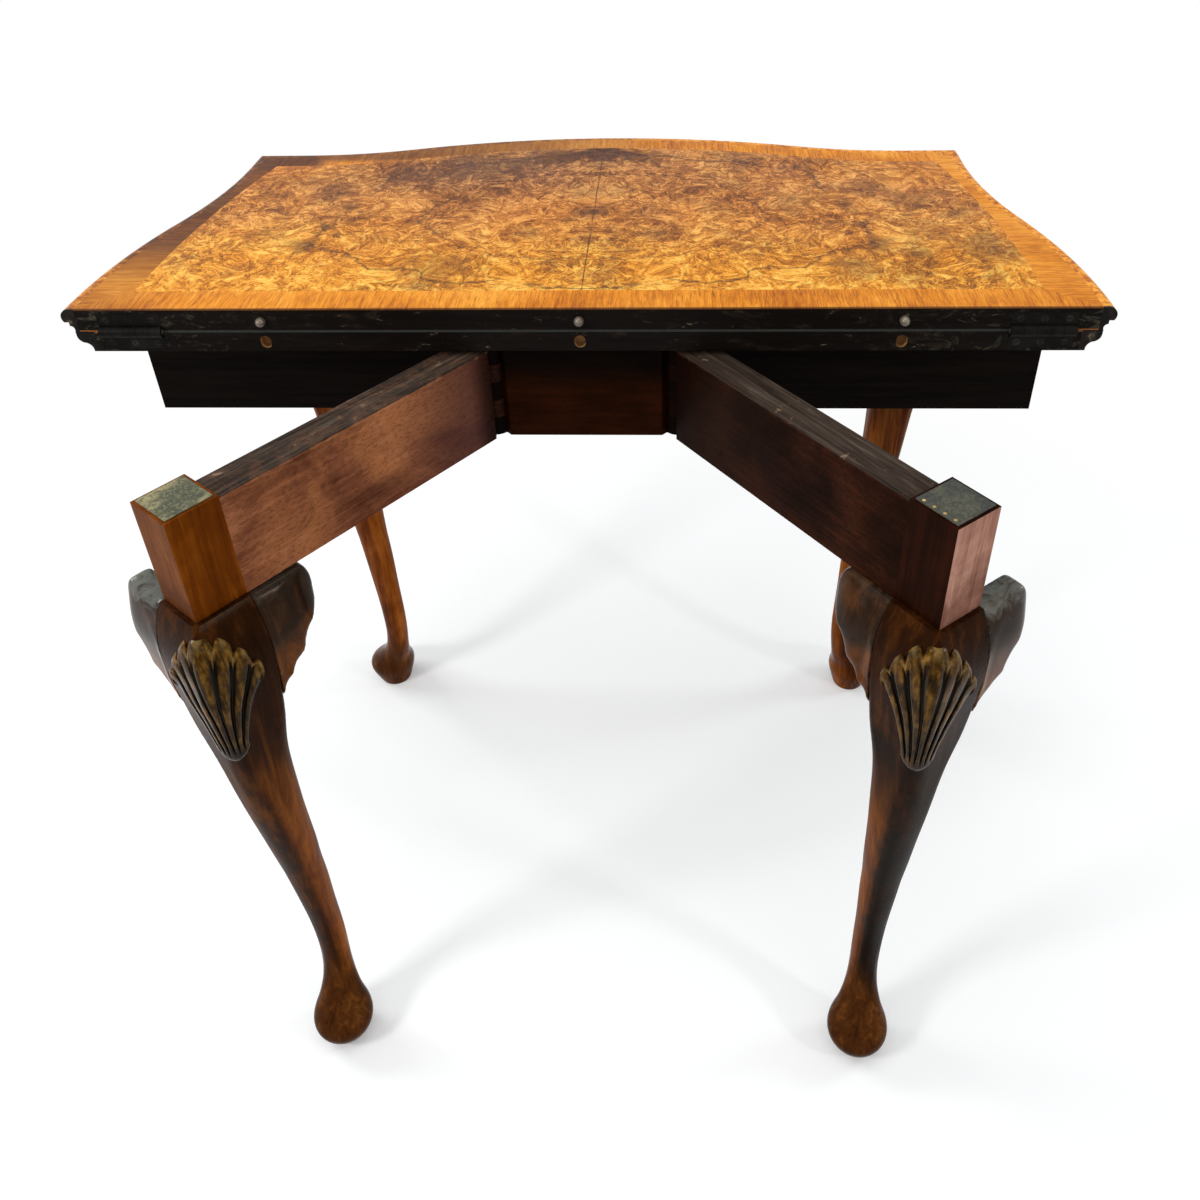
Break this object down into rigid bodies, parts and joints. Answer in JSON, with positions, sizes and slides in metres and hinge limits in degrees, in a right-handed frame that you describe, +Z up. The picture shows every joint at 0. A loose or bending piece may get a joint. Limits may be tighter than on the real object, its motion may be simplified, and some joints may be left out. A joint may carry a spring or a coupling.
{
  "type": "folding card table",
  "caption": "Folding card table with serpentine walnut leaves, gate legs on wooden knuckle joints and cabriole legs with pad feet.",
  "frame": {"origin": "middle of the whole outline on the floor, with both gates half open as in the picture", "axes": "+X along the leaves' hinge line, +Y towards the show front, +Z up"},
  "size_m": [0.8512, 0.6658, 0.74],
  "materials": {
    "burr_walnut": "burr walnut veneer, french polished",
    "walnut_crossband": "crossbanded walnut veneer, polished",
    "walnut_moulding": "dark polished walnut edge",
    "leaf_ground": "ebonised and worn rear edge, plain wood under",
    "walnut_rail": "polished walnut veneered rail",
    "dark_pine": "dark stained softwood",
    "mahogany_rail": "stained mahogany, thin finish",
    "dark_knee_walnut": "very dark polished walnut",
    "leg_walnut": "polished walnut, darker at knee and foot",
    "green_baize": "worn green baize",
    "dark_iron": "darkened iron butt hinge",
    "pale_metal": "dull steel peg",
    "steel_pin": "plain steel pin"
  },
  "bodies": {
    "carcase": {"lower_leaf_core": "leaf_ground", "lower_moulding_right": "walnut_moulding", "lower_moulding_front": "walnut_moulding", "lower_moulding_left": "walnut_moulding", "lower_playing_border": "walnut_crossband", "lower_playing_baize": "green_baize", "right_hinge_lower_plate": "dark_iron", "left_hinge_lower_plate": "dark_iron", "right_hinge_pin": "dark_iron", "left_hinge_pin": "dark_iron", "back_rail": "dark_pine", "right_side_rail": "walnut_rail", "left_side_rail": "walnut_rail", "front_rail": "walnut_rail", "right_cock_bead": "walnut_moulding", "left_cock_bead": "walnut_moulding", "front_cock_bead": "walnut_moulding", "centre_packing": "dark_pine", "fixed_knuckle_block": "mahogany_rail", "right_gate_pin": "steel_pin", "left_gate_pin": "steel_pin", "glue_blocks": "dark_pine", "right_front_leg": "leg_walnut", "right_front_leg_front_ear": "dark_knee_walnut", "right_front_leg_side_ear": "dark_knee_walnut", "right_front_leg_shell": "dark_knee_walnut", "left_front_leg": "leg_walnut", "left_front_leg_front_ear": "dark_knee_walnut", "left_front_leg_side_ear": "dark_knee_walnut", "left_front_leg_shell": "dark_knee_walnut"},
    "upper_leaf": {"upper_leaf_core": "leaf_ground", "upper_moulding_right": "walnut_moulding", "upper_moulding_front": "walnut_moulding", "upper_moulding_left": "walnut_moulding", "burr_veneer_right": "burr_walnut", "burr_veneer_left": "burr_walnut", "crossband_rear": "walnut_crossband", "crossband_front": "walnut_crossband", "crossband_right": "walnut_crossband", "crossband_left": "walnut_crossband", "upper_playing_border": "walnut_crossband", "upper_playing_baize": "green_baize", "left_alignment_peg": "pale_metal", "centre_alignment_peg": "pale_metal", "right_alignment_peg": "pale_metal", "right_hinge_upper_plate": "dark_iron", "left_hinge_upper_plate": "dark_iron"},
    "left_gate": {"left_gate_rail": "mahogany_rail", "left_gate_leg": "leg_walnut", "left_gate_rail_ear": "dark_knee_walnut", "left_gate_end_ear": "dark_knee_walnut", "left_gate_leg_shell": "dark_knee_walnut", "left_gate_baize_pad": "green_baize"},
    "right_gate": {"right_gate_rail": "mahogany_rail", "right_gate_leg": "leg_walnut", "right_gate_rail_ear": "dark_knee_walnut", "right_gate_end_ear": "dark_knee_walnut", "right_gate_leg_shell": "dark_knee_walnut", "right_gate_baize_pad": "green_baize"}
  },
  "joints": [
    {"name": "upper_leaf_fold", "type": "hinge", "parent": "carcase", "child": "upper_leaf", "pos_m": [0, -0.08014, 0.71975], "axis": [1, 0, 0], "range_deg": [0, 180]},
    {"name": "left_gate_swing", "type": "hinge", "parent": "carcase", "child": "left_gate", "pos_m": [-0.0814, -0.05114, 0.6095], "axis": [0, 0, 1], "range_deg": [-52.5, 37.5]},
    {"name": "right_gate_swing", "type": "hinge", "parent": "carcase", "child": "right_gate", "pos_m": [0.0814, -0.05114, 0.6095], "axis": [0, 0, -1], "range_deg": [-52.5, 37.5]}
  ]
}
